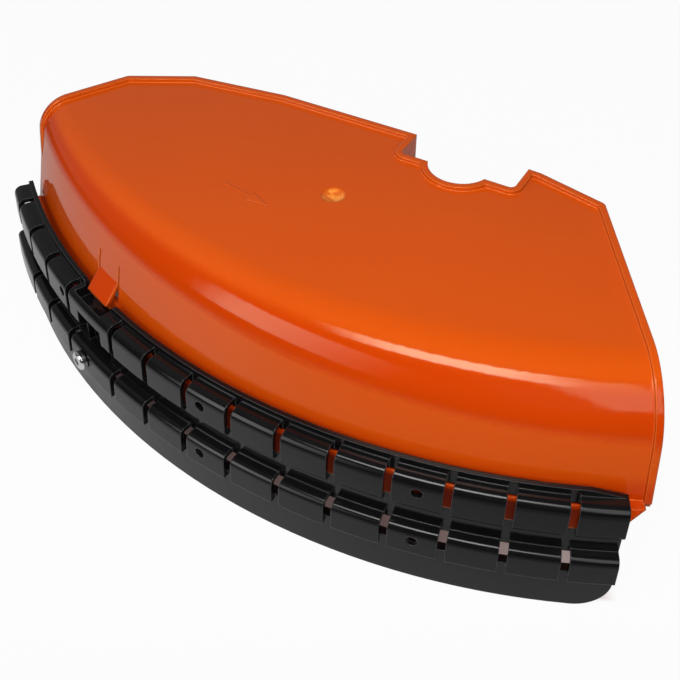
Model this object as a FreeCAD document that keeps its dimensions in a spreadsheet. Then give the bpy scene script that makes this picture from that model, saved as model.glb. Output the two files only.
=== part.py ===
import FreeCAD, Part
import math
import operator
import os
import types

import Sketcher

# Trimmer blade guard: a moulded deflector hood, a slotted skirt that slides along the rail at the
# foot of the hood, and a steel line cutter held inside the skirt by a screw and a nut.
# X runs across the guard, Y to the rear and Z up. The origin lies midway between the two screw holes
# in the rear recess, on the face that meets the gear head's bracket.
# The wall, rail and skirt are turned about one upright axis behind the guard. Angles are measured
# about it from straight ahead of the guard.

SIZES = (
    # the axis of the turned forms, from the origin
    ("axis_behind", 188.8),
    ("axis_left", 8.2),
    # hood: plate, leaning wall and rail
    ("plate_above", 11.0),
    ("hood_wall", 2.8),
    ("foot_radius", 336.0),
    ("crown_inset", 10.8),
    ("crown_round_left", 16.0),
    ("crown_round_right", 36.0),
    ("hood_left_angle", 48.0),
    ("hood_right_angle", 36.0),
    ("foot_drop", 56.6),
    ("rail_step", 5.3),
    ("rail_flare", 4.7),
    ("rail_height", 10.1),
    ("rim_width", 3.4),
    ("rim_raise", 2.2),
    ("rim_fade_drop", 30.0),
    ("rail_end_angle", 27.6),
    ("rail_end_slope", 13.0),
    ("rail_left_angle", 41.5),
    # hood: outline of the plate, from the origin
    ("recess_half_width", 31.9),
    ("recess_depth", 19.5),
    ("recess_round", 3.0),
    ("half_round_radius", 16.7),
    ("half_round_behind", 5.3),
    ("left_flat_x", 113.2),
    ("left_flat_y", 18.2),
    ("left_bend_x", 167.2),
    ("left_bend_y", 10.1),
    ("left_corner_x", 200.2),
    ("left_corner_y", 8.5),
    ("left_end_x", 229.2),
    ("left_end_y", 62.8),
    ("right_flat_x", 38.8),
    ("right_flat_y", 19.2),
    ("right_corner_x", 76.1),
    ("right_corner_y", 10.5),
    ("right_end_x", 151.0),
    ("right_end_y", 109.4),
    ("corner_round", 4.0),
    # hood: rear wall and its screw bosses
    ("rear_wall_height", 18.0),
    ("rear_wall_return", 4.0),
    ("screw_spacing", 47.6),
    ("screw_hole_radius", 2.75),
    ("boss_wall", 2.75),
    ("boss_length", 14.0),
    ("boss_rib", 2.4),
    # hood: moulding dimple in the plate, from the origin
    ("dimple_left", 45.0),
    ("dimple_ahead", 47.4),
    ("dimple_radius", 6.3),
    ("dimple_depth", 2.4),
    ("dimple_boss_drop", 2.0),
    # hood: snap tongue
    ("latch_left_angle", 22.6),
    ("tongue_angle", 3.1),
    ("slit_angle", 0.18),
    ("tongue_root_drop", 28.4),
    ("tongue_bend_drop", 38.4),
    ("tongue_tip_drop", 49.4),
    ("tongue_reach", 5.2),
    ("tongue_gap", 1.5),
    ("notch_root", 0.5),
    ("notch_play_angle", 0.3),
    # skirt: section
    ("skirt_wall", 2.5),
    ("seat_clearance", 0.3),
    ("rail_play", 1.5),
    ("lip_play", 2.1),
    ("lip_height", 3.4),
    ("inner_round", 0.8),
    ("face_draft", 0.6),
    ("upper_row_height", 19.2),
    ("upper_round", 5.0),
    ("toe_height", 3.0),
    ("toe_slope", 2.0),
    ("web_setback", 4.5),
    ("row_gap", 11.7),
    ("row_step", 3.0),
    ("lower_row_height", 15.0),
    ("lower_round", 4.0),
    ("sill_depth", 2.2),
    ("flange_setback", 4.0),
    ("flange_height", 21.9),
    ("flange_corner", 17.0),
    # skirt: ends, slots, holes and the openings at the tongue
    ("skirt_left_angle", 41.91),
    ("skirt_right_angle", 26.2),
    ("lip_end_slope", 16.0),
    ("right_slots_angle", 18.49),
    ("left_slots_angle", 25.63),
    ("slot_pitch_angle", 4.536),
    ("slot_width", 4.0),
    ("slot_bite", 0.3),
    ("right_slots_count", 10),
    ("left_slots_count", 4),
    ("pocket_angle", 4.3),
    ("lip_corner", 3.0),
    ("window_left_angle", 21.95),
    ("window_angle", 3.7),
    ("window_above_toe", 8.0),
    ("box_left_angle", 22.42),
    ("box_angle", 5.6),
    ("box_play", 0.8),
    ("hole_radius", 2.75),
    ("upper_hole_rise", 11.7),
    ("lower_hole_rise", 8.2),
    ("middle_hole_shift_angle", 0.53),
    ("left_hole_shift_angle", 1.2),
    # line cutter, screw and nut
    ("cutter_left_angle", 23.1),
    ("cutter_thickness", 2.0),
    ("cutter_foot_length", 20.0),
    ("cutter_arm_length", 30.0),
    ("cutter_bevel", 6.0),
    ("cutter_bend", 1.0),
    ("cutter_clearance", 1.0),
    ("shank_radius", 2.5),
    ("thread_clearance", 0.15),
    ("head_radius", 5.3),
    ("head_height", 4.0),
    ("head_round", 1.8),
    ("socket_width", 4.2),
    ("socket_depth", 1.8),
    ("nut_width", 8.0),
    ("nut_height", 4.0),
    ("screw_end", 1.0),
    # how far a cutting form passes the faces that it cuts
    ("margin", 1.0),
)

doc = FreeCAD.newDocument("blade_guard")
sheet = doc.addObject("Spreadsheet::Sheet", "Sizes")
for row, (alias, number) in enumerate(SIZES, start=1):
    sheet.set(f"A{row}", alias)
    sheet.set(f"B{row}", str(number))
    sheet.setAlias(f"B{row}", alias)
doc.recompute()

SYMBOLS = {"+": operator.add, "-": operator.sub, "*": operator.mul, "/": operator.truediv}


class Size:
    """A number with the formula that ties it to the sheet."""

    def __init__(self, value, formula):
        self.value = value
        self.formula = formula

    def join(self, symbol, other, swap=False):
        other = as_size(other)
        left, right = (other, self) if swap else (self, other)
        value = SYMBOLS[symbol](left.value, right.value)
        return Size(value, f"({left.formula} {symbol} {right.formula})")

    def __add__(self, other):
        return self.join("+", other)

    def __radd__(self, other):
        return self.join("+", other, True)

    def __sub__(self, other):
        return self.join("-", other)

    def __rsub__(self, other):
        return self.join("-", other, True)

    def __mul__(self, other):
        return self.join("*", other)

    def __rmul__(self, other):
        return self.join("*", other, True)

    def __truediv__(self, other):
        return self.join("/", other)

    def __neg__(self):
        return Size(0.0, "0") - self


def as_size(number):
    return number if isinstance(number, Size) else Size(float(number), f"({float(number)})")


dim = types.SimpleNamespace(
    **{alias: Size(float(sheet.get(alias)), f"Sizes.{alias}") for alias, number in SIZES}
)


# Sketches


def origin_feature(body, role):
    return next(f for f in body.Origin.OriginFeatures if f.Role == role)


def turn_about(axis, angle):
    """A turn and its formula, kept positive by the choice of the axis' sense."""
    angle = as_size(angle)
    if angle.value < 0:
        axis, angle = -axis, -angle
    return FreeCAD.Rotation(axis, angle.value), angle.formula


def add_body(name, turn=0):
    """A body on the upright axis whose local X points ahead of the guard, turned by an angle."""
    body = doc.addObject("PartDesign::Body", name)
    rotation, formula = turn_about(FreeCAD.Vector(0, 0, 1), as_size(turn) - 90)
    body.Placement = FreeCAD.Placement(FreeCAD.Vector(), rotation)
    body.setExpression("Placement.Rotation.Angle", formula)
    for letter, offset in (("x", -dim.axis_left), ("y", dim.axis_behind), ("z", dim.plate_above)):
        body.setExpression(f"Placement.Base.{letter}", offset.formula)
    return body


def add_sketch(body, name, role, turn=0, up=None, out=None):
    """A sketch on an origin plane, turned about the body's upright axis, raised or moved outward."""
    sketch = body.newObject("Sketcher::SketchObject", name)
    sketch.AttachmentSupport = [(origin_feature(body, role), "")]
    sketch.MapMode = "FlatFace"
    turn = as_size(turn)
    if turn.value:
        rotation, formula = turn_about(FreeCAD.Vector(0, 1, 0), turn)
        sketch.AttachmentOffset = FreeCAD.Placement(FreeCAD.Vector(), rotation)
        sketch.setExpression("AttachmentOffset.Rotation.Angle", formula)
    for letter, offset in (("y", up), ("z", out)):
        if offset is not None:
            sketch.setExpression(f"AttachmentOffset.Base.{letter}", offset.formula)
    return sketch


def hold(sketch, kind, *where, size):
    """Adds a constraint and ties it to the sheet."""
    index = sketch.addConstraint(Sketcher.Constraint(kind, *where, size.value))
    sketch.setExpression(f"Constraints[{index}]", size.formula)


def hold_point(sketch, geometry, position, x, y):
    hold(sketch, "DistanceX", -1, 1, geometry, position, size=as_size(x))
    hold(sketch, "DistanceY", -1, 1, geometry, position, size=as_size(y))


def draw(sketch, corners):
    """Closed outline through corners (x, y) or (x, y, radius); a radius rounds its corner."""
    corners = [tuple(as_size(v) for v in corner) for corner in corners]
    points = [FreeCAD.Vector(c[0].value, c[1].value, 0) for c in corners]
    count = len(corners)
    entry, leave, arcs = {}, {}, {}
    for i, corner in enumerate(corners):
        before = (points[i - 1] - points[i]).normalize()
        after = (points[(i + 1) % count] - points[i]).normalize()
        setback = 0.0
        if len(corner) == 3:
            setback = corner[2].value / math.tan(before.getAngle(after) / 2)
        entry[i] = points[i] + before * setback
        leave[i] = points[i] + after * setback
        if setback:
            inward = (before + after).normalize()
            middle = points[i] + inward * (math.hypot(setback, corner[2].value) - corner[2].value)
            leftward = before.cross(after).z < 0
            ends = (entry[i], leave[i]) if leftward else (leave[i], entry[i])
            arcs[i] = Part.Arc(ends[0], middle, ends[1]), (1, 2) if leftward else (2, 1)
    lines = [
        sketch.addGeometry(Part.LineSegment(leave[i], entry[(i + 1) % count]), False)
        for i in range(count)
    ]
    for i, corner in enumerate(corners):
        if i not in arcs:
            sketch.addConstraint(Sketcher.Constraint("Coincident", lines[i - 1], 2, lines[i], 1))
            hold_point(sketch, lines[i], 1, corner[0], corner[1])
            continue
        curve, (first, last) = arcs[i]
        arc = sketch.addGeometry(curve, False)
        tip = sketch.addGeometry(Part.Point(points[i]), True)
        hold_point(sketch, tip, 1, corner[0], corner[1])
        for line in (lines[i - 1], lines[i]):
            sketch.addConstraint(Sketcher.Constraint("PointOnObject", tip, 1, line))
        sketch.addConstraint(Sketcher.Constraint("Tangent", lines[i - 1], 2, arc, first))
        sketch.addConstraint(Sketcher.Constraint("Tangent", lines[i], 1, arc, last))
        hold(sketch, "Radius", arc, size=corner[2])


def draw_rectangle(sketch, left, bottom, right, top):
    draw(sketch, ((left, bottom), (right, bottom), (right, top), (left, top)))


def draw_circle(sketch, x, y, radius):
    x, y = as_size(x), as_size(y)
    circle = Part.Circle(FreeCAD.Vector(x.value, y.value, 0), FreeCAD.Vector(0, 0, 1), radius.value)
    index = sketch.addGeometry(circle, False)
    hold_point(sketch, index, 3, x, y)
    hold(sketch, "Radius", index, size=radius)


def draw_hexagon(sketch, width):
    """Regular hexagon about the sketch's origin with flats above and below."""
    half = width / 2
    corner = width / math.sqrt(3)
    draw(sketch, ((corner, 0), (corner / 2, half), (-corner / 2, half),
                  (-corner, 0), (-corner / 2, -half), (corner / 2, -half)))


# Features


def turned(body, name, sketch, angle=360, cut=False, left=None, axis="V_Axis", way="both"):
    """Turns a sketch about its axis: evenly to both sides, to one side, or right and left by two angles."""
    feature = body.newObject("PartDesign::Groove" if cut else "PartDesign::Revolution", name)
    feature.Profile = sketch
    feature.ReferenceAxis = (sketch, [axis])
    angle = as_size(angle)
    feature.Midplane = left is None and way == "both"
    feature.Reversed = way == "left"
    if left is not None:
        feature.Type = "TwoAngles"
        feature.setExpression("Angle2", left.formula)
    feature.setExpression("Angle", angle.formula)
    return feature


def padded(body, name, sketch, length, reversed_way=False, symmetric=False):
    feature = body.newObject("PartDesign::Pad", name)
    feature.Profile = sketch
    feature.SideType = "Symmetric" if symmetric else "One side"
    feature.Reversed = reversed_way
    feature.setExpression("Length", as_size(length).formula)
    return feature


def pocketed(body, name, sketch, length, reversed_way=False, symmetric=False):
    feature = body.newObject("PartDesign::Pocket", name)
    feature.Profile = sketch
    feature.SideType = "Symmetric" if symmetric else "One side"
    feature.Reversed = reversed_way
    feature.setExpression("Length", as_size(length).formula)
    return feature


def repeated(body, name, feature, spacing, count, reversed_way=False):
    pattern = body.newObject("PartDesign::PolarPattern", name)
    pattern.Originals = [feature]
    pattern.Axis = (origin_feature(body, "Z_Axis"), [""])
    pattern.Mode = "Spacing"
    pattern.Reversed = reversed_way
    pattern.setExpression("Offset", spacing.formula)
    pattern.setExpression("Occurrences", count.formula)
    body.Tip = pattern
    return pattern


def boolean(kind, name, first, second):
    feature = doc.addObject(kind, name)
    feature.Base, feature.Tool = first, second
    return feature


def fused(name, shapes):
    feature = doc.addObject("Part::MultiFuse", name)
    feature.Shapes = shapes
    return feature


# Levels below the plate's top and radii about the axis that the pieces share

rail_radius = dim.foot_radius + dim.rail_step
rail_foot_radius = rail_radius + dim.rail_flare
rail_bottom = -(dim.foot_drop + dim.rail_height)
crown_radius = dim.foot_radius - dim.crown_inset
wall_lean = dim.crown_inset / dim.foot_drop

skirt_radius = rail_foot_radius + dim.rail_play + dim.skirt_wall
upper_top_radius = skirt_radius - dim.face_draft
lip_inner = dim.foot_radius + dim.lip_play
lip_outer = lip_inner + dim.skirt_wall
web_outer = skirt_radius - dim.web_setback
web_inner = web_outer - dim.skirt_wall
lower_radius = skirt_radius + dim.row_step
lower_top_radius = lower_radius - dim.face_draft
flange_outer = lower_radius - dim.flange_setback
flange_inner = flange_outer - dim.skirt_wall
sill_inner = flange_inner - dim.sill_depth
window_back = web_inner - dim.margin
box_inner = dim.foot_radius + dim.notch_root + dim.box_play

ledge_top = rail_bottom - dim.seat_clearance
ledge_bottom = ledge_top - dim.skirt_wall
toe_top = ledge_bottom + dim.toe_height
upper_top = ledge_bottom + dim.upper_row_height
lip_top = upper_top + dim.lip_height
lip_foot = dim.seat_clearance - dim.foot_drop
lower_top = ledge_bottom - dim.row_gap
lower_bottom = lower_top - dim.lower_row_height
flange_bottom = lower_bottom - dim.flange_height


def wall_radius(level):
    """Outer radius of the hood's leaning wall at a level below the plate."""
    return crown_radius - level * wall_lean


# Hood: a turned shell and rim, trimmed to the plate's outline


def place_box(feature, corner, lengths):
    for letter, offset in zip("xyz", corner):
        feature.setExpression(f"Placement.Base.{letter}", as_size(offset).formula)
    for side, length in zip(("Length", "Width", "Height"), lengths):
        feature.setExpression(side, length.formula)


def place_pin(feature, x, y, radius, length):
    """A cylinder that runs rearward from a point level with the screw holes."""
    feature.Placement = FreeCAD.Placement(FreeCAD.Vector(), FreeCAD.Rotation(FreeCAD.Vector(1, 0, 0), -90))
    feature.setExpression("Placement.Base.x", x.formula)
    feature.setExpression("Placement.Base.y", y.formula)
    feature.setExpression("Radius", radius.formula)
    feature.setExpression("Height", length.formula)


def draw_plate_outline(sketch):
    """Rear edge with its stepped recess, then the two ends, run out past the rail."""
    half = dim.recess_half_width
    front = 1.2 * rail_foot_radius - dim.axis_behind
    draw(sketch, (
        (half, 0, dim.recess_round),
        (half, dim.recess_depth),
        (dim.right_flat_x, dim.right_flat_y),
        (dim.right_corner_x, dim.right_corner_y, dim.corner_round),
        (1.5 * dim.right_end_x - 0.5 * dim.right_corner_x,
         -1.5 * dim.right_end_y - 0.5 * dim.right_corner_y),
        (1.5 * dim.right_end_x - 0.5 * dim.right_corner_x, -front),
        (dim.left_corner_x - 2 * dim.left_end_x, -front),
        (dim.left_corner_x - 2 * dim.left_end_x, dim.left_corner_y - 2 * dim.left_end_y),
        (-dim.left_corner_x, -dim.left_corner_y, dim.corner_round),
        (-dim.left_bend_x, dim.left_bend_y),
        (-dim.left_flat_x, dim.left_flat_y),
        (-half, dim.recess_depth),
        (-half, 0, dim.recess_round),
    ))


def make_plan(name, outline, low, height, inset=None):
    """Upright prism on the plate's outline, or inset from it all round, less the half-round."""
    base, radius = outline, dim.half_round_radius
    if inset is not None:
        base, radius = doc.addObject("Part::Offset2D", f"{name}_line"), radius + inset
        base.Source = outline
        base.Join = "Arc"
        base.setExpression("Value", (-inset).formula)
    prism = doc.addObject("Part::Extrusion", f"{name}_prism")
    prism.Base = base
    prism.DirMode = "Custom"
    prism.Dir = FreeCAD.Vector(0, 0, 1)
    prism.Solid = True
    prism.setExpression("LengthFwd", height.formula)
    half_round = doc.addObject("Part::Cylinder", f"{name}_half_round")
    half_round.setExpression("Placement.Base.y", dim.half_round_behind.formula)
    half_round.setExpression("Placement.Base.z", low.formula)
    half_round.setExpression("Radius", radius.formula)
    half_round.setExpression("Height", height.formula)
    return boolean("Part::Cut", name, prism, half_round)


def make_tongue():
    """Snap tongue: the strip of wall below the slits, bent outward."""
    body = add_body("tongue", -dim.latch_left_angle)
    section = add_sketch(body, "tongue_section", "XZ_Plane")
    root = wall_radius(-dim.tongue_bend_drop)
    tip = dim.foot_radius + dim.tongue_reach
    draw(section, (
        (root, -dim.tongue_bend_drop),
        (tip, -dim.tongue_tip_drop),
        (tip - dim.hood_wall, -dim.tongue_tip_drop),
        (root - dim.hood_wall, -dim.tongue_bend_drop),
    ))
    turned(body, "tongue_turned", section, dim.tongue_angle)
    return body


def make_tongue_opening():
    """The two slits beside the tongue's root and the opening that its bent strip leaves."""
    body = add_body("tongue_opening", -dim.latch_left_angle)
    inner = crown_radius - 2 * dim.hood_wall
    outer = dim.foot_radius + dim.margin
    section = add_sketch(body, "opening_section", "XZ_Plane")
    bottom = -dim.tongue_tip_drop - dim.tongue_gap
    draw_rectangle(section, inner, bottom, outer, -dim.tongue_root_drop)
    turned(body, "opening_turned", section, dim.tongue_angle + 2 * dim.slit_angle)
    strip = add_sketch(body, "strip_section", "XZ_Plane")
    draw_rectangle(strip, inner - dim.margin, -dim.tongue_bend_drop, outer + dim.margin,
                   dim.margin - dim.tongue_root_drop)
    turned(body, "strip_kept", strip, dim.tongue_angle, cut=True)
    return body


def make_rail_cut(name, middle, angle):
    """A form that takes away the rail over an angle to both sides of its middle."""
    body = add_body(name, -middle)
    section = add_sketch(body, f"{name}_section", "XZ_Plane")
    draw_rectangle(section, dim.foot_radius + dim.notch_root, rail_bottom - dim.margin,
                   rail_foot_radius + dim.margin, dim.margin - dim.foot_drop)
    turned(body, f"{name}_turned", section, angle)
    return body


def make_dimple():
    """A round dish in the plate, and the boss below that keeps the plate thick there."""
    boss = doc.addObject("Part::Cylinder", "dimple_boss")
    boss.setExpression("Radius", (dim.dimple_radius + dim.hood_wall).formula)
    boss.setExpression("Height", (dim.dimple_boss_drop + dim.hood_wall / 2).formula)
    dish = doc.addObject("Part::Sphere", "dimple_dish")
    depth = dim.dimple_depth
    dish_radius = (dim.dimple_radius * dim.dimple_radius + depth * depth) / (2 * depth)
    dish.setExpression("Radius", dish_radius.formula)
    boss_low = dim.plate_above - dim.hood_wall - dim.dimple_boss_drop
    for feature, level in ((boss, boss_low), (dish, dim.plate_above + dish_radius - depth)):
        feature.setExpression("Placement.Base.x", (-dim.dimple_left).formula)
        feature.setExpression("Placement.Base.y", (-dim.dimple_ahead).formula)
        feature.setExpression("Placement.Base.z", level.formula)
    return boss, dish


def make_rail_end():
    """The slope that takes the lower corner off the rail's right end."""
    body = add_body("rail_end", dim.rail_end_angle)
    section = add_sketch(body, "rail_end_section", "YZ_Plane", out=dim.foot_radius + dim.margin)
    drop = -dim.foot_drop
    draw(section, (
        (0, drop),
        (-dim.rail_end_slope, rail_bottom - dim.margin),
        (dim.rail_end_slope, rail_bottom - dim.margin),
        (dim.rail_end_slope, drop),
    ))
    padded(body, "rail_end_block", section, dim.rail_step + dim.rail_flare + dim.margin)
    return body


def round_crown(shell):
    """Rounds the edge between plate and wall, inside and out, by a radius that grows to the right."""
    doc.recompute()
    feature = doc.addObject("Part::Fillet", "hood_crowned")
    feature.Base = shell
    edges = []
    for number, edge in enumerate(shell.Shape.Edges, start=1):
        for inset in (0.0, dim.hood_wall.value):
            level = dim.plate_above.value - inset
            flat = all(abs(v.Z - level) < 1e-4 for v in edge.Vertexes)
            if flat and edge.Length > crown_radius.value and on_radius(edge, crown_radius.value - inset):
                ends = (dim.crown_round_left.value - inset, dim.crown_round_right.value - inset)
                rightward = edge.Vertexes[0].X < edge.Vertexes[-1].X
                edges.append((number, *(ends if rightward else reversed(ends))))
    feature.Edges = edges
    return feature


def on_radius(edge, radius):
    return hasattr(edge.Curve, "Radius") and abs(edge.Curve.Radius - radius) < 1e-4


def make_hood():
    wall = dim.hood_wall
    bore = dim.axis_behind - dim.recess_depth - 4 * dim.rim_width

    shell = add_body("hood_shell")
    section = add_sketch(shell, "shell_section", "XZ_Plane")
    draw(section, (
        (bore, 0),
        (crown_radius, 0),
        (dim.foot_radius, -dim.foot_drop),
        (rail_radius, -dim.foot_drop),
        (rail_foot_radius, rail_bottom),
        (rail_foot_radius - wall, rail_bottom),
        (rail_radius - wall, -dim.foot_drop - wall),
        (dim.foot_radius - wall, -dim.foot_drop - wall),
        (crown_radius - wall, -wall),
        (bore, -wall),
    ))
    turned(shell, "shell_turned", section, dim.hood_right_angle, left=dim.hood_left_angle)
    crowned = round_crown(shell)

    rims = []
    for way, crown_round, low_radius, low in (
        ("right", dim.crown_round_right, dim.foot_radius + dim.rim_raise, -dim.foot_drop),
        ("left", dim.crown_round_left, wall_radius(-dim.rim_fade_drop), -dim.rim_fade_drop),
    ):
        rim = add_body(f"hood_rim_{way}")
        section = add_sketch(rim, f"rim_section_{way}", "XZ_Plane")
        draw(section, (
            (bore, dim.rim_raise),
            (crown_radius + dim.rim_raise, dim.rim_raise, crown_round + dim.rim_raise),
            (low_radius, low),
            (wall_radius(low) - wall / 2, low),
            (crown_radius - wall / 2, -wall / 2, crown_round - wall / 2),
            (bore, -wall / 2),
        ))
        angle = dim.hood_right_angle if way == "right" else dim.hood_left_angle
        turned(rim, f"rim_turned_{way}", section, angle, way=way)
        rims.append(rim)

    outline = doc.addObject("Sketcher::SketchObject", "plate_outline")
    draw_plate_outline(outline)
    low = dim.plate_above + rail_bottom - dim.margin
    outline.setExpression("Placement.Base.z", low.formula)
    height = dim.rim_raise - rail_bottom + 2 * dim.margin
    plan = make_plan("plate_plan", outline, low, height)
    inside_rim = make_plan("inside_rim", outline, low, height, dim.rim_width)
    inside_wall = make_plan("inside_wall", outline, low, height, wall)

    rear_zone = doc.addObject("Part::Box", "rear_zone")
    depth = dim.half_round_radius - dim.half_round_behind + wall + dim.rear_wall_return
    place_box(
        rear_zone,
        (-dim.left_end_x, -depth, dim.plate_above - dim.rear_wall_height),
        (dim.left_end_x + dim.right_end_x, depth + dim.recess_depth + dim.margin,
         dim.rear_wall_height - wall / 2),
    )
    pieces = [
        boolean("Part::Common", "shell_trimmed", crowned, plan),
        boolean("Part::Common", "rim_band", fused("hood_rim", rims),
                boolean("Part::Cut", "rim_plan", plan, inside_rim)),
        boolean("Part::Common", "rear_wall", rear_zone,
                boolean("Part::Cut", "wall_plan", plan, inside_wall)),
    ]
    dimple_boss, dimple_dish = make_dimple()
    pieces.append(dimple_boss)
    left_end = 2 * (dim.hood_left_angle - dim.rail_left_angle)
    cuts = [
        make_tongue_opening(),
        make_rail_cut("rail_notch", dim.box_left_angle, dim.box_angle + 2 * dim.notch_play_angle),
        make_rail_cut("rail_left_end", dim.hood_left_angle, left_end),
        make_rail_end(),
        dimple_dish,
    ]
    boss_radius = dim.screw_hole_radius + dim.boss_wall
    for name, side in (("left", -0.5), ("right", 0.5)):
        x = dim.screw_spacing * side
        boss = doc.addObject("Part::Cylinder", f"boss_{name}")
        place_pin(boss, x, -dim.boss_length, boss_radius, dim.boss_length)
        rib = doc.addObject("Part::Box", f"boss_rib_{name}")
        rib_foot = boss_radius - dim.boss_wall / 2
        place_box(rib, (x - dim.boss_rib / 2, -dim.boss_length, rib_foot),
                  (dim.boss_rib, dim.boss_length - wall / 2, dim.plate_above - wall / 2 - rib_foot))
        hole = doc.addObject("Part::Cylinder", f"screw_hole_{name}")
        place_pin(hole, x, -dim.boss_length - dim.margin, dim.screw_hole_radius,
                  dim.boss_length + 2 * dim.margin)
        pieces += [boss, rib]
        cuts.append(hole)
    opened = boolean("Part::Cut", "hood_opened", fused("hood_body", pieces), fused("hood_cuts", cuts))
    return fused("hood", [opened, make_tongue()])


# Skirt: one turned section, then its slots, holes and openings


def make_skirt():
    wall = dim.skirt_wall
    body = add_body("skirt")
    section = add_sketch(body, "skirt_section", "XZ_Plane")
    draw(section, (
        (lip_inner, lip_top),
        (lip_outer, lip_top),
        (lip_outer, upper_top, dim.inner_round),
        (upper_top_radius, upper_top, dim.upper_round),
        (skirt_radius, toe_top),
        (skirt_radius - dim.toe_slope, ledge_bottom),
        (web_outer, ledge_bottom),
        (web_outer, lower_top, dim.inner_round),
        (lower_top_radius, lower_top, dim.lower_round),
        (lower_radius, lower_bottom),
        (flange_outer, lower_bottom),
        (flange_outer, flange_bottom),
        (flange_inner, flange_bottom),
        (flange_inner, lower_bottom),
        (sill_inner, lower_bottom),
        (sill_inner, lower_bottom + wall),
        (lower_radius - wall, lower_bottom + wall),
        (lower_top_radius - wall, lower_top - wall, dim.lower_round - wall),
        (web_inner, lower_top - wall),
        (web_inner, ledge_top),
        (skirt_radius - wall, ledge_top),
        (upper_top_radius - wall, upper_top - wall, dim.upper_round - wall),
        (lip_outer, upper_top - wall),
        (lip_outer, lip_foot),
        (lip_inner, lip_foot),
    ))
    turned(body, "skirt_turned", section, dim.skirt_right_angle, left=dim.skirt_left_angle)
    box = add_sketch(body, "latch_box_section", "XZ_Plane", turn=-dim.box_left_angle)
    draw(box, (
        (box_inner, upper_top - wall / 2),
        (box_inner, lower_top - wall / 2),
        (web_outer - wall / 2, lower_top - wall / 2),
        (web_outer - wall / 2, ledge_bottom + wall / 2),
        (skirt_radius - 0.75 * wall, ledge_bottom + wall / 2),
        (upper_top_radius - wall / 2, upper_top - dim.upper_round),
        (upper_top_radius - dim.upper_round, upper_top - wall / 2),
    ))
    turned(body, "latch_box", box, dim.box_angle)

    beyond = lower_radius + dim.margin
    first_right = -dim.right_slots_angle
    first_left = -dim.left_slots_angle
    lip_cut = lip_outer - dim.slot_bite
    web_cut = web_outer - dim.slot_bite
    upper_slot = (
        (lip_cut, upper_top + dim.margin),
        (beyond, upper_top + dim.margin),
        (beyond, ledge_bottom - dim.margin),
        (web_outer, ledge_bottom - dim.margin),
        (web_outer, ledge_top),
        (lip_cut, ledge_top),
    )
    lower_slot = (
        (web_cut, lower_top + dim.margin),
        (beyond, lower_top + dim.margin),
        (beyond, lower_bottom - dim.margin),
        (flange_outer, lower_bottom - dim.margin),
        (flange_outer, lower_bottom + wall),
        (web_cut, lower_bottom + wall),
    )
    for side, first, count, leftward in (
        ("right", first_right, dim.right_slots_count, False),
        ("left", first_left, dim.left_slots_count, True),
    ):
        for row, shape in (("upper", upper_slot), ("lower", lower_slot)):
            name = f"{row}_slots_{side}"
            sketch = add_sketch(body, f"{name}_section", "XZ_Plane", turn=first)
            draw(sketch, shape)
            slot = pocketed(body, f"{name}_first", sketch, dim.slot_width, symmetric=True)
            number = count - 1 if (row, side) == ("lower", "left") else count
            repeated(body, name, slot, dim.slot_pitch_angle, number, leftward)

    upper_hole = ledge_bottom + dim.upper_hole_rise
    lower_hole = lower_bottom + dim.lower_hole_rise
    middle_hole = first_right + 2.5 * dim.slot_pitch_angle - dim.middle_hole_shift_angle
    hole_spread = 4 * dim.slot_pitch_angle + dim.middle_hole_shift_angle
    holes = add_sketch(body, "bump_holes_section", "YZ_Plane", turn=middle_hole)
    draw_circle(holes, 0, upper_hole, dim.hole_radius)
    draw_circle(holes, 0, lower_hole, dim.hole_radius)
    pair = pocketed(body, "bump_holes_first", holes, beyond, reversed_way=True)
    repeated(body, "bump_holes", pair, hole_spread, as_size(2))
    for name, angle, level in (
        ("left_hole", first_left - dim.slot_pitch_angle / 2 + dim.left_hole_shift_angle, upper_hole),
        ("cutter_hole", -dim.cutter_left_angle, lower_hole),
    ):
        sketch = add_sketch(body, f"{name}_section", "YZ_Plane", turn=angle)
        draw_circle(sketch, 0, level, dim.hole_radius)
        pocketed(body, name, sketch, beyond, reversed_way=True)

    pocket = add_sketch(body, "pocket_section", "XZ_Plane", turn=-dim.latch_left_angle)
    draw_rectangle(pocket, lip_inner - dim.margin, -dim.foot_drop, upper_top_radius - wall,
                   lip_top + dim.margin)
    turned(body, "tongue_pocket", pocket, dim.pocket_angle, cut=True)
    window = add_sketch(body, "window_section", "XZ_Plane", turn=-dim.window_left_angle)
    draw_rectangle(window, window_back, lower_top, beyond, toe_top + dim.window_above_toe)
    turned(body, "tongue_window", window, dim.window_angle, cut=True)
    slope = add_sketch(body, "lip_end_section", "YZ_Plane", turn=dim.skirt_right_angle)
    draw(slope, (
        (-dim.lip_end_slope, lip_top),
        (dim.lip_end_slope, lip_top - 2 * dim.lip_height),
        (dim.lip_end_slope, lip_top + dim.margin),
        (-dim.lip_end_slope, lip_top + dim.margin),
    ))
    last = pocketed(body, "lip_end", slope, lip_outer + dim.margin, reversed_way=True)

    for name, level, radius in (
        ("flange_corners", flange_bottom, dim.flange_corner),
        ("lip_corners", lip_top, dim.lip_corner),
    ):
        doc.recompute()
        edges = wall_end_edges(last.Shape, level.value, wall.value)
        rounded = body.newObject("PartDesign::Fillet", name)
        rounded.Base = (last, edges)
        rounded.setExpression("Radius", radius.formula)
        last = rounded
    return body


def wall_end_edges(shape, level, thickness):
    """The short edges across the wall's thickness at a level, where a run of the wall ends."""
    return [
        f"Edge{number}" for number, edge in enumerate(shape.Edges, start=1)
        if all(abs(v.Z - level) < 1e-4 for v in edge.Vertexes) and abs(edge.Length - thickness) < 1e-3
    ]


# Line cutter with its screw and nut, in the lower row beside the window

foot_face = lower_top_radius - dim.skirt_wall - dim.seat_clearance
foot_back = foot_face - dim.cutter_thickness
cutter_level = lower_bottom + dim.lower_hole_rise


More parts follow.
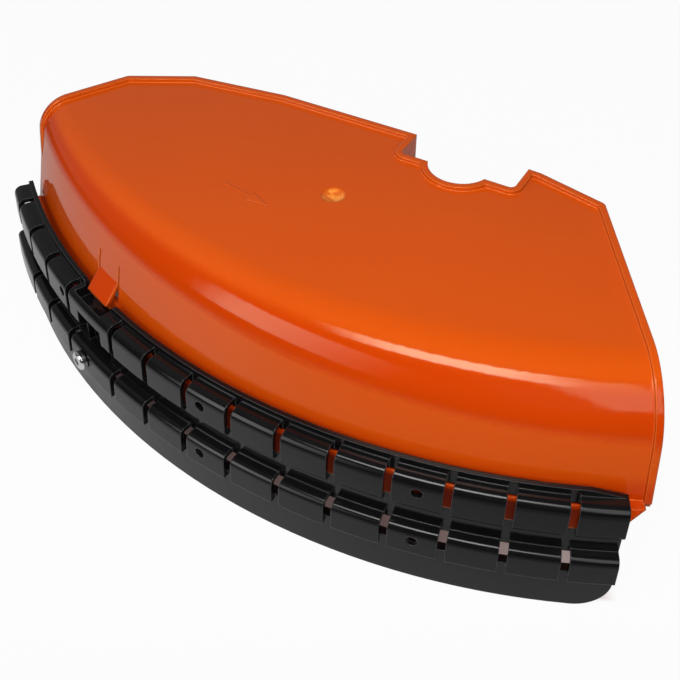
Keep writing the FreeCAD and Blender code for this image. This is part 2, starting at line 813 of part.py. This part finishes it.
def make_line_cutter():
    body = add_body("line_cutter", -dim.cutter_left_angle)
    thick = dim.cutter_thickness
    low = lower_bottom + dim.skirt_wall + dim.cutter_clearance
    height = dim.lower_row_height - 2 * dim.skirt_wall - 2 * dim.cutter_clearance
    side = dim.cutter_foot_length / 2
    tip = foot_face - dim.cutter_arm_length
    profile = add_sketch(body, "cutter_profile", "XY_Plane", out=low)
    draw(profile, (
        (foot_face, -side),
        (foot_face, side, dim.cutter_bend + thick),
        (tip, side),
        (tip + dim.cutter_bevel, side - thick),
        (foot_back, side - thick, dim.cutter_bend),
        (foot_back, -side),
    ))
    padded(body, "cutter_plate", profile, height)
    hole = add_sketch(body, "cutter_bore_section", "YZ_Plane")
    draw_circle(hole, 0, cutter_level, dim.shank_radius + dim.thread_clearance)
    pocketed(body, "cutter_bore", hole, lower_radius, reversed_way=True)
    return body


def make_cutter_screw():
    body = add_body("cutter_screw", -dim.cutter_left_angle)
    end = foot_back - dim.nut_height - dim.screw_end
    top = lower_radius + dim.head_height
    section = add_sketch(body, "screw_section", "XZ_Plane", up=cutter_level)
    draw(section, (
        (end, 0),
        (end, dim.shank_radius),
        (lower_radius, dim.shank_radius),
        (lower_radius, dim.head_radius),
        (top, dim.head_radius, dim.head_round),
        (top, 0),
    ))
    turned(body, "screw_turned", section, axis="H_Axis")
    socket = add_sketch(body, "socket_section", "YZ_Plane", up=cutter_level, out=top)
    draw_hexagon(socket, dim.socket_width)
    pocketed(body, "screw_socket", socket, dim.socket_depth)
    return body


def make_cutter_nut():
    body = add_body("cutter_nut", -dim.cutter_left_angle)
    section = add_sketch(body, "nut_section", "YZ_Plane", up=cutter_level, out=foot_back)
    draw_hexagon(section, dim.nut_width)
    draw_circle(section, 0, 0, dim.shank_radius + dim.thread_clearance)
    padded(body, "nut_block", section, dim.nut_height, reversed_way=True)
    return body


nodes = {
    "hood": make_hood(),
    "skirt": make_skirt(),
    "line_cutter": make_line_cutter(),
    "cutter_screw": make_cutter_screw(),
    "cutter_nut": make_cutter_nut(),
}
doc.recompute()

for item in doc.Objects:
    if "Invalid" in item.State or "Error" in item.State:
        raise RuntimeError(f"{item.Name} did not compute: {item.State}")
os.makedirs("parts", exist_ok=True)
for node, item in nodes.items():
    if item.Shape.isNull() or not item.Shape.isValid():
        raise RuntimeError(f"{node} has no valid shape")
    item.Label = node
    item.Shape.exportStep(f"parts/{node}.step")
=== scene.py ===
import math

import bpy
import numpy as np
from mathutils import Matrix, Vector


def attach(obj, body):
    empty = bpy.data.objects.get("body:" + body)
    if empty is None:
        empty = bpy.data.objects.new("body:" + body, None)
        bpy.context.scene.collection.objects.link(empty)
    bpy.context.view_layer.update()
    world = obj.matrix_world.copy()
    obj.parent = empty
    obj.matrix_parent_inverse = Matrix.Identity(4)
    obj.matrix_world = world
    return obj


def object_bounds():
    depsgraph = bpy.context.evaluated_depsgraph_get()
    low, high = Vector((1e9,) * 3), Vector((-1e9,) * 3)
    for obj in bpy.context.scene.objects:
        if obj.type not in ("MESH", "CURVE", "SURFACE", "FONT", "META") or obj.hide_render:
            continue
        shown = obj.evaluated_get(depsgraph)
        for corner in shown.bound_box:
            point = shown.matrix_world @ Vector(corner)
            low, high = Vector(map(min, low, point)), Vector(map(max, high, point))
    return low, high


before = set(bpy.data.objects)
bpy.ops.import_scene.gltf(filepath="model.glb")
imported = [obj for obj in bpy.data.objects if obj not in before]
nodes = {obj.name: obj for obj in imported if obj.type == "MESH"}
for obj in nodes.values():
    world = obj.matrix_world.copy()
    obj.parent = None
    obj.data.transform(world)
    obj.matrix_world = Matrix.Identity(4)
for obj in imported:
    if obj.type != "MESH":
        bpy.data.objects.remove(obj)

cad_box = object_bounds()

# Lengths are in metres, and colours are linear. A noise is given by its scale and detail, and by its
# roughness where that isn't a half. A fade is given by where it starts and where it is complete.


# Shader helpers

SURFACE = "Principled BSDF"
EDGE_SAMPLES = 8
EDGE_FADE = (0.02, 0.3)


class Value:
    """A shader socket with arithmetic, so that a formula reads as one."""

    def __init__(self, shader, socket):
        self.shader, self.socket = shader, socket

    def math(self, operation, first, second):
        settings = {"operation": operation}
        return self.shader.node("ShaderNodeMath", settings, {0: first, 1: second})

    def __add__(self, other):
        return self.math("ADD", self, other)

    def __radd__(self, other):
        return self.math("ADD", other, self)

    def __sub__(self, other):
        return self.math("SUBTRACT", self, other)

    def __rsub__(self, other):
        return self.math("SUBTRACT", other, self)

    def __mul__(self, other):
        return self.math("MULTIPLY", self, other)

    def __rmul__(self, other):
        return self.math("MULTIPLY", other, self)

    def most(self, other):
        return self.math("MAXIMUM", self, other)

    def least(self, other):
        return self.math("MINIMUM", self, other)

    def between(self, low, high):
        """0 at low and 1 at high, smooth between and level outside."""
        settings = {"interpolation_type": "SMOOTHSTEP"}
        inputs = {"Value": self, "From Min": low, "From Max": high}
        return self.shader.node("ShaderNodeMapRange", settings, inputs)


class Shader:
    """The nodes of a material, a lamp or the world, made by type and linked as values."""

    def __init__(self, tree):
        self.tree = tree

    def node(self, kind, settings=None, inputs=None, output=0):
        made = self.tree.nodes.new(kind)
        for name, value in (settings or {}).items():
            setattr(made, name, value)
        for name, value in (inputs or {}).items():
            if isinstance(value, Value):
                self.tree.links.new(value.socket, made.inputs[name])
            else:
                made.inputs[name].default_value = value
        return Value(self, made.outputs[output])

    def feed(self, node, socket, value):
        self.tree.links.new(value.socket, self.tree.nodes[node].inputs[socket])

    def place(self):
        return self.node("ShaderNodeTexCoord", output="Object")

    def geometry(self, output):
        return self.node("ShaderNodeNewGeometry", output=output)

    def ray(self, way):
        return self.node("ShaderNodeLightPath", output=f"Is {way} Ray")

    def part(self, vector, axis):
        return self.node("ShaderNodeSeparateXYZ", None, {0: vector}, axis)

    def vector_math(self, operation, first, second, output):
        settings = {"operation": operation}
        return self.node("ShaderNodeVectorMath", settings, {0: first, 1: second}, output)

    def noise(self, scale, detail, roughness=0.5):
        inputs = {
            "Vector": self.place(),
            "Scale": scale,
            "Detail": detail,
            "Roughness": roughness,
        }
        return self.node("ShaderNodeTexNoise", {"noise_dimensions": "3D"}, inputs)

    def blend(self, factor, first, second):
        inputs = {0: factor, 6: first, 7: second}
        return self.node("ShaderNodeMix", {"data_type": "RGBA"}, inputs, 2)

    def mix(self, factor, first, second):
        return self.node("ShaderNodeMixShader", None, {0: factor, 1: first, 2: second})

    def rounded(self, radius):
        """The normal that the surface would have with its edges rounded by a radius."""
        return self.node("ShaderNodeBevel", {"samples": EDGE_SAMPLES}, {"Radius": radius})

    def edge(self, rounded):
        """0 on a face, rising to 1 where the rounded normal turns away from the face's own."""
        agreement = self.vector_math("DOT_PRODUCT", rounded, self.geometry("Normal"), "Value")
        return (1.0 - agreement).between(*EDGE_FADE)

    def bump(self, height, distance, normal):
        inputs = {"Height": height, "Distance": distance, "Normal": normal}
        return self.node("ShaderNodeBump", None, inputs)

    def flat_distance(self, centre):
        """Distance from an upright line, measured level."""
        flat = self.vector_math("MULTIPLY", self.place(), (1, 1, 0), 0)
        return self.vector_math("DISTANCE", flat, centre, "Value")

    def beyond(self, way, start, end):
        """0 up to a line on the floor and 1 past it; way is the level direction across it."""
        reach = self.vector_math("DOT_PRODUCT", self.place(), way, "Value")
        return reach.between(start, end)


def new_finish(name, **constants):
    """A material with a principled surface, its constants set on the surface's own sockets."""
    material = bpy.data.materials.new(name)
    material.use_nodes = True
    inputs = material.node_tree.nodes[SURFACE].inputs
    for socket, value in constants.items():
        inputs[socket.replace("_", " ")].default_value = value
    return material, Shader(material.node_tree)


# Finishes

HOOD_GLOSS, HOOD_GLOSS_TINT = 0.35, (0.95, 1.0, 0.7, 1)
HOOD_EDGE_RADIUS = 0.0013
ORANGE, WARM_ORANGE = (0.57, 0.069, 0.0025, 1), (0.61, 0.078, 0.0035, 1)
# Painted shade: a deeper orange on the rounded edge and at the wall's foot, and a dark orange on the
# rail's outer side under the skirt.
SHADED_ORANGE, RAIL_SHADE_ORANGE = (0.5, 0.041, 0.001, 1), (0.13, 0.015, 0.006, 1)
# Painted highlight: a pale orange for the glints in the plate's dimple.
GATE_GLINT_ORANGE, RUBBED_ORANGE = (0.9, 0.34, 0.055, 1), (0.85, 0.24, 0.05, 1)
HOOD_DRIFT, HOOD_HAZE, HOOD_RIPPLE = (9.0, 2.0), (500.0, 2.0), (120.0, 1.0)
HOOD_RIPPLE_DEPTH = 0.000008
HOOD_RUB_SHARE = 0.45
HOOD_ROUGH, HOOD_ROUGH_HAZE, HOOD_ROUGH_RUB = 0.05, 0.03, 0.1
# Fades by how far the surface faces up, by height, by how far it faces rearward, and by place across.
WALL_TO_EDGE, EDGE_TO_PLATE = (0.19, 0.32), (0.72, 0.9)
FOOT_FADE, RAIL_FADE = (-0.041, -0.031), (-0.048, -0.046)
REARWARD_FADE, SKIRT_END_FADE = (-0.2, 0.0), (0.118, 0.138)
# The spot where the plastic flowed into the mould; its paler, swirled colour is a painted highlight for
# the glints in its dimple.
DIMPLE, DIMPLE_FADE = (-0.045, -0.0474, 0.0), (0.0045, 0.0068)
SWIRL, SWIRL_FADE = (240.0, 2.0), (0.4, 0.62)
GATE_GLINT_SHARE, GATE_SWIRL_GLINT_SHARE, GATE_RELIEF = 0.2, 0.6, 14.0


def hood_plastic():
    """Glossy orange moulding: a slow drift of tone, painted shade deepening the rounded edge between
    wall and plate and the wall's foot, painted shade on the outer side of the rail that the skirt
    slides on, a painted highlight of paler, swirled glints in the plate's dimple, paler rubbed edges,
    and a faint ripple in the gloss."""
    material, shader = new_finish(
        "hood_plastic", Specular_IOR_Level=HOOD_GLOSS, Specular_Tint=HOOD_GLOSS_TINT)
    facing, place = shader.geometry("Normal"), shader.place()
    rise, height = shader.part(facing, "Z"), shader.part(place, "Z")

    tone = shader.blend(shader.noise(*HOOD_DRIFT), ORANGE, WARM_ORANGE)
    # Painted shade: deeper orange where the surface turns from wall to plate, and at the wall's foot.
    turning_shade = rise.between(*WALL_TO_EDGE) * (1.0 - rise.between(*EDGE_TO_PLATE))
    foot = 1.0 - height.between(*FOOT_FADE)
    tone = shader.blend(turning_shade.most(foot), tone, SHADED_ORANGE)

    # Painted shade: the rail's outer side, where the skirt covers it, is darkened to a dim orange.
    outer = 1.0 - shader.part(facing, "Y").between(*REARWARD_FADE)
    rail = (1.0 - height.between(*RAIL_FADE)) * outer
    covered = 1.0 - shader.part(place, "X").between(*SKIRT_END_FADE)
    tone = shader.blend(rail * covered, tone, RAIL_SHADE_ORANGE)

    # Painted highlight: paler, swirled glints in the plate's dimple.
    gate = 1.0 - shader.flat_distance(DIMPLE).between(*DIMPLE_FADE)
    swirl = shader.noise(*SWIRL).between(*SWIRL_FADE)
    tone = shader.blend(gate * (GATE_GLINT_SHARE + GATE_SWIRL_GLINT_SHARE * swirl), tone, GATE_GLINT_ORANGE)

    rounded = shader.rounded(HOOD_EDGE_RADIUS)
    rub = shader.edge(rounded)
    tone = shader.blend(HOOD_RUB_SHARE * rub, tone, RUBBED_ORANGE)
    rough = HOOD_ROUGH + HOOD_ROUGH_HAZE * shader.noise(*HOOD_HAZE) + HOOD_ROUGH_RUB * rub
    ripple = shader.noise(*HOOD_RIPPLE) + GATE_RELIEF * gate * swirl
    shader.feed(SURFACE, "Base Color", tone)
    shader.feed(SURFACE, "Roughness", rough)
    shader.feed(SURFACE, "Normal", shader.bump(ripple, HOOD_RIPPLE_DEPTH, rounded))
    return material


SKIRT_GLOSS = 0.32
SKIRT_EDGE_RADIUS = 0.0008
BLACK, DULL_BLACK = (0.003, 0.003, 0.0034, 1), (0.006, 0.006, 0.0065, 1)
RUBBED_BLACK = (0.08, 0.08, 0.083, 1)
SKIRT_CLOUD, SKIRT_RIPPLE = (55.0, 4.0, 0.65), (260.0, 1.0)
SKIRT_RIPPLE_DEPTH = 0.00002
SKIRT_RUB_SHARE = 0.7
SKIRT_ROUGH, SKIRT_ROUGH_CLOUD, SKIRT_ROUGH_RUB = 0.07, 0.1, 0.08


def skirt_plastic():
    """Glossy black moulding: faint cloudy rub marks, greyer edges and a fine ripple."""
    material, shader = new_finish("skirt_plastic", Specular_IOR_Level=SKIRT_GLOSS)
    rounded = shader.rounded(SKIRT_EDGE_RADIUS)
    rub = shader.edge(rounded)
    cloud = shader.noise(*SKIRT_CLOUD)
    tone = shader.blend(cloud, BLACK, DULL_BLACK)
    tone = shader.blend(SKIRT_RUB_SHARE * rub, tone, RUBBED_BLACK)
    rough = SKIRT_ROUGH + SKIRT_ROUGH_CLOUD * cloud + SKIRT_ROUGH_RUB * rub
    ripple = shader.noise(*SKIRT_RIPPLE)
    shader.feed(SURFACE, "Base Color", tone)
    shader.feed(SURFACE, "Roughness", rough)
    shader.feed(SURFACE, "Normal", shader.bump(ripple, SKIRT_RIPPLE_DEPTH, rounded))
    return material


STEEL_EDGE_RADIUS = 0.0003
STEEL, PALE_STEEL = (0.62, 0.62, 0.63, 1), (0.8, 0.8, 0.81, 1)
STEEL_GRAIN, STEEL_GRAIN_DEPTH = (900.0, 3.0, 0.6), 0.000008
PLATING_ROUGH, GROUND_ROUGH = (0.12, 0.3), (0.25, 0.45)


def steel(name, rough):
    """Steel with a fine grain, paler where it is rougher; rough is its least and greatest roughness."""
    material, shader = new_finish(name, Metallic=1.0)
    low, high = rough
    grain = shader.noise(*STEEL_GRAIN)
    rounded = shader.rounded(STEEL_EDGE_RADIUS)
    shader.feed(SURFACE, "Base Color", shader.blend(grain, STEEL, PALE_STEEL))
    shader.feed(SURFACE, "Roughness", low + (high - low) * grain)
    shader.feed(SURFACE, "Normal", shader.bump(grain, STEEL_GRAIN_DEPTH, rounded))
    return material


def paint(piece, material):
    piece.data.materials.clear()
    piece.data.materials.append(material)


def new_piece(name, points, faces, material):
    mesh = bpy.data.meshes.new(name)
    mesh.from_pydata(points, [], faces)
    mesh.validate()
    piece = bpy.data.objects.new(name, mesh)
    bpy.context.scene.collection.objects.link(piece)
    paint(piece, material)
    return piece


# Raised arrow on the plate

PLATE_LEVEL = 0.011
ARROW_TAIL, ARROW_TIP = np.array((-0.0975, -0.0662)), np.array((-0.0668, -0.0718))
ARROW_HEAD, ARROW_HALF_HEAD, ARROW_HALF_SHAFT = 0.0139, 0.0038, 0.0014
ARROW_RISE, ARROW_SLOPE, ARROW_SINK = 0.0003, 0.0003, 0.0001


def inset_outline(points, width):
    """A closed outline moved inward: each corner slides along its bisector until both its sides have
    moved by the width."""
    sides = np.roll(points, -1, 0) - points
    sides /= np.linalg.norm(sides, axis=1)[:, None]
    normals = np.stack((-sides[:, 1], sides[:, 0]), 1)
    before = np.roll(normals, 1, 0)
    slide = width / (1.0 + (normals * before).sum(1))
    return points + (normals + before) * slide[:, None]


def add_arrow(material):
    """A flat arrow with sloped sides. Its outline stands just below the plate's level, at that level,
    and inset at the top; quads join each ring to the next, and one face closes each end."""
    along = ARROW_TIP - ARROW_TAIL
    length = np.linalg.norm(along)
    along /= length
    across = np.array((-along[1], along[0]))
    neck = length - ARROW_HEAD
    half = np.array((
        (0, -ARROW_HALF_SHAFT),
        (neck, -ARROW_HALF_SHAFT),
        (neck, -ARROW_HALF_HEAD),
    ))
    flat = np.concatenate((half, ((length, 0.0),), (half * (1, -1))[::-1]))
    outline = ARROW_TAIL + flat[:, :1] * along + flat[:, 1:] * across
    count = len(outline)
    rings = (
        (outline, PLATE_LEVEL - ARROW_SINK),
        (outline, PLATE_LEVEL),
        (inset_outline(outline, ARROW_SLOPE), PLATE_LEVEL + ARROW_RISE),
    )
    points = np.concatenate(
        [np.column_stack((ring, np.full(count, level))) for ring, level in rings])
    low = np.arange(count)
    after = (low + 1) % count
    band = np.stack((low, after, after + count, low + count), 1)
    bands = len(rings) - 1
    faces = np.concatenate([band + count * step for step in range(bands)]).tolist()
    faces.append((low + count * bands).tolist())
    faces.append(low[::-1].tolist())
    arrow = new_piece("plate_arrow", points.tolist(), faces, material)
    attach(arrow, "root")


# Camera, floor and light

CAMERA_PLACE = (0.1899, -0.4661, 0.3553)
CAMERA_AHEAD, CAMERA_RIGHT = (-0.35374, 0.64449, -0.67786), (0.87202, 0.48937, 0.01022)
CAMERA_CLIP = (0.01, 20.0)
FOCAL_PIXELS, FRAME_PIXELS = 1176.87, 680.0
SENSOR_MM = 36.0


def add_camera():
    """The photograph's viewpoint; the lens gives its field over a square frame."""
    data = bpy.data.cameras.new("camera")
    data.sensor_width = SENSOR_MM
    data.lens = SENSOR_MM * FOCAL_PIXELS / FRAME_PIXELS
    data.clip_start, data.clip_end = CAMERA_CLIP
    camera = bpy.data.objects.new("camera", data)
    bpy.context.scene.collection.objects.link(camera)
    ahead = Vector(CAMERA_AHEAD).normalized()
    right = Vector(CAMERA_RIGHT).normalized()
    up = right.cross(ahead).normalized()
    right = ahead.cross(up)
    turn = Matrix((right, up, -ahead)).transposed().to_4x4()
    camera.matrix_world = Matrix.Translation(CAMERA_PLACE) @ turn
    bpy.context.scene.camera = camera


FLOOR_HALF = 6.0
FLOOR_WHITE, FLOOR_GLOSS = 0.95, 0.12
FLOOR_PALE, FLOOR_GREY = (0.62, 0.62, 0.62, 1), (0.2, 0.2, 0.2, 1)
WHITE, SHADE_TINT = (1, 1, 1, 1), (1.0, 0.7, 0.66, 1)
POOL_CENTRE, POOL_FADE = (-0.15, 0.1, 0.0), (0.42, 0.62)
GUARD_AXIS, SKIRT_FOOT_FADE = (-0.0082, 0.1888, 0.0), (0.340, 0.347)
# Lines on the floor: the level direction across each one, then its fade along that direction.
POOL_FRONT = ((0.493, -0.87, 0), 0.13, 0.30)
GUARD_REAR = ((0, 1, 0), -0.05, 0.03)
GUARD_RIGHT = ((0.848, 0.53, 0), 0.045, 0.065)
GUARD_LEFT = ((-0.882, 0.471, 0), 0.19, 0.25)
# Light that reaches the floor under the guard from its right end: each step's share and line.
GLOW_STEPS = ((0.06, ((1, 0, 0), -0.13, -0.03)), (0.24, ((1, 0, 0), 0.03, 0.14)))


def add_floor():
    """A pale floor, white to the camera, and greyer to other rays in front of the guard and away from
    it. A mask keeps it in the guard's own shade inside the skirt's turn, short of the two ends and
    ahead of the rear edge, and lets some light in from the right end. Seen from below it is clear."""
    level = cad_box[0].z
    half = FLOOR_HALF
    corners = [(-half, -half, level), (half, -half, level), (half, half, level), (-half, half, level)]
    material, shader = new_finish("floor", Roughness=1.0, Specular_IOR_Level=0.0)
    away = shader.flat_distance(POOL_CENTRE).between(*POOL_FADE).most(shader.beyond(*POOL_FRONT))
    shader.feed(SURFACE, "Base Color", shader.blend(away, FLOOR_PALE, FLOOR_GREY))

    clear = shader.flat_distance(GUARD_AXIS).between(*SKIRT_FOOT_FADE)
    for line in (GUARD_REAR, GUARD_RIGHT, GUARD_LEFT):
        clear = clear.most(shader.beyond(*line))
    first, second = (share * shader.beyond(*line) for share, line in GLOW_STEPS)
    clear = clear.most(first + second)

    glossy = FLOOR_GLOSS * shader.ray("Glossy") * (1.0 - away)
    seen = (shader.ray("Camera") + shader.ray("Transmission") + glossy).least(1.0)
    tint = shader.blend(clear, SHADE_TINT, WHITE)
    white = shader.node("ShaderNodeEmission", None, {"Color": tint, "Strength": 1.0})
    matt = Value(shader, shader.tree.nodes[SURFACE].outputs["BSDF"])
    above = shader.mix(FLOOR_WHITE * seen * clear, matt, white)
    below = shader.node("ShaderNodeBsdfTransparent")
    surface = shader.mix(shader.geometry("Backfacing"), above, below)
    shader.feed("Material Output", "Surface", surface)
    new_piece("floor", corners, [(0, 1, 2, 3)], material)


AIM = Vector((-0.03, -0.1, 0.0))
CRISP = (0.05, 0.05, 0.05)


def add_softbox(name, azimuth, height, distance, size, radiance, soft=CRISP, in_gloss=True):
    """A flat lamp aimed at the guard: azimuth from straight ahead to the right and height above the
    horizon in degrees, brightness as its own surface shows it, and in soft the shares of its width
    over which its left and its right edge fade, and of its height for the other two."""
    turn, lift = math.radians(azimuth), math.radians(height)
    level = math.cos(lift)
    toward = Vector((math.sin(turn) * level, -math.cos(turn) * level, math.sin(lift)))
    data = bpy.data.lights.new(name, "AREA")
    data.shape = "RECTANGLE"
    data.size, data.size_y = size
    data.energy = radiance * math.pi * size[0] * size[1]
    data.use_nodes = True
    shader = Shader(data.node_tree)
    over = shader.geometry("Parametric")
    wide, tall = shader.part(over, "X"), shader.part(over, "Y")
    left, right, ends = soft
    fade = wide.between(0.0, left) * (1.0 - wide).between(0.0, right)
    fade = fade * tall.between(0.0, ends) * (1.0 - tall).between(0.0, ends)
    shader.feed("Emission", "Strength", fade)
    lamp = bpy.data.objects.new(name, data)
    bpy.context.scene.collection.objects.link(lamp)
    lamp.location = AIM + distance * toward
    lamp.rotation_euler = (-toward).to_track_quat("-Z", "Y").to_euler()
    lamp.visible_camera = False
    lamp.visible_glossy = in_gloss


ROOM_DARK, ROOM_LEFT, ROOM_DROP, ROOM_REAR, ROOM_WHITE = 0.02, 0.25, 0.19, 0.16, 0.96
# Fades over the direction looked in: from the left to the right, and from the front to the rear.
LEFT_TO_RIGHT, FRONT_TO_SIDE, SIDE_TO_REAR = (-0.8, -0.1), (-0.6, 0.0), (0.5, 0.95)


def add_world():
    """A dim room: dark in front of the guard, a little light overhead and more from the left and the
    rear; white to the camera."""
    world = bpy.data.worlds.new("studio")
    world.use_nodes = True
    shader = Shader(world.node_tree)
    way = shader.node("ShaderNodeTexCoord", output="Generated")
    across, rearward = shader.part(way, "X"), shader.part(way, "Y")
    walls = ROOM_LEFT - ROOM_DROP * across.between(*LEFT_TO_RIGHT)
    room = ROOM_DARK + walls * rearward.between(*FRONT_TO_SIDE)
    room = room + ROOM_REAR * rearward.between(*SIDE_TO_REAR)
    seen = shader.ray("Camera") + shader.ray("Transmission")
    shader.feed("Background", "Strength", room.most(ROOM_WHITE * seen))
    world.node_tree.nodes["Background"].inputs["Color"].default_value = WHITE
    bpy.context.scene.world = world


orange = hood_plastic()
paint(nodes["hood"], orange)
paint(nodes["skirt"], skirt_plastic())
plating = steel("bright_plating", PLATING_ROUGH)
paint(nodes["cutter_screw"], plating)
paint(nodes["cutter_nut"], plating)
paint(nodes["line_cutter"], steel("ground_steel", GROUND_ROUGH))
add_arrow(orange)

add_camera()
add_floor()
add_world()
add_softbox("strip", azimuth=11.0, height=65.0, distance=0.875,
            size=(0.8, 0.24), radiance=12.0, soft=(0.4, 0.4, 0.08))
add_softbox("left_panel", azimuth=-24.0, height=23.0, distance=0.9,
            size=(0.86, 0.58), radiance=3.9, soft=(0.27, 0.75, 0.12))
add_softbox("right_panel", azimuth=54.0, height=43.0, distance=0.9,
            size=(0.36, 0.62), radiance=2.3, soft=(0.2, 0.3, 0.1))
add_softbox("top_fill", azimuth=20.0, height=70.0, distance=0.9,
            size=(0.5, 0.5), radiance=2.4, in_gloss=False)
add_softbox("side_fill", azimuth=40.0, height=35.0, distance=0.75,
            size=(0.4, 0.4), radiance=5.0, in_gloss=False)

bpy.context.scene.view_settings.view_transform = "Standard"
